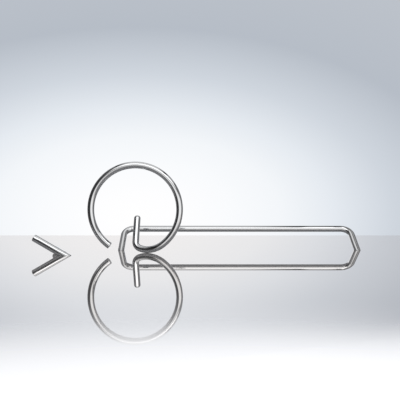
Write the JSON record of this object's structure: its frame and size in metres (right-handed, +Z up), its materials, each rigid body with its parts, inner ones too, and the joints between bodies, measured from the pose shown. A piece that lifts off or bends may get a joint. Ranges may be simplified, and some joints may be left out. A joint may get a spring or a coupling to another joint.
{
  "type": "bent rod ring, rail and hook set",
  "caption": "Set of bent polished steel rods standing on a surface: an open ring with a rear arm, a long low rail on leaning legs, and a V-shaped hook.",
  "frame": {"origin": "on the surface the set stands on, under the middle of its footprint", "axes": "+X along the rail's bar, +Y from the ring to the rail behind it, +Z up"},
  "size_m": [0.59, 0.153, 0.1629],
  "materials": {
    "rail_steel": "mirror-polished stainless steel",
    "ring_steel": "mirror-polished stainless steel",
    "hook_steel": "mirror-polished stainless steel"
  },
  "bodies": {
    "rail": {"rail": "rail_steel"},
    "ring": {"ring": "ring_steel"},
    "hook": {"hook_arm": "hook_steel", "hook_leg": "hook_steel"}
  },
  "joints": [
    {"name": "ring_lift", "type": "slide", "parent": "rail", "child": "ring", "axis": [0, 0, 1], "range_m": [0, 0.2]},
    {"name": "hook_lift", "type": "slide", "parent": "rail", "child": "hook", "axis": [0, 0, 1], "range_m": [0, 0.1]}
  ]
}
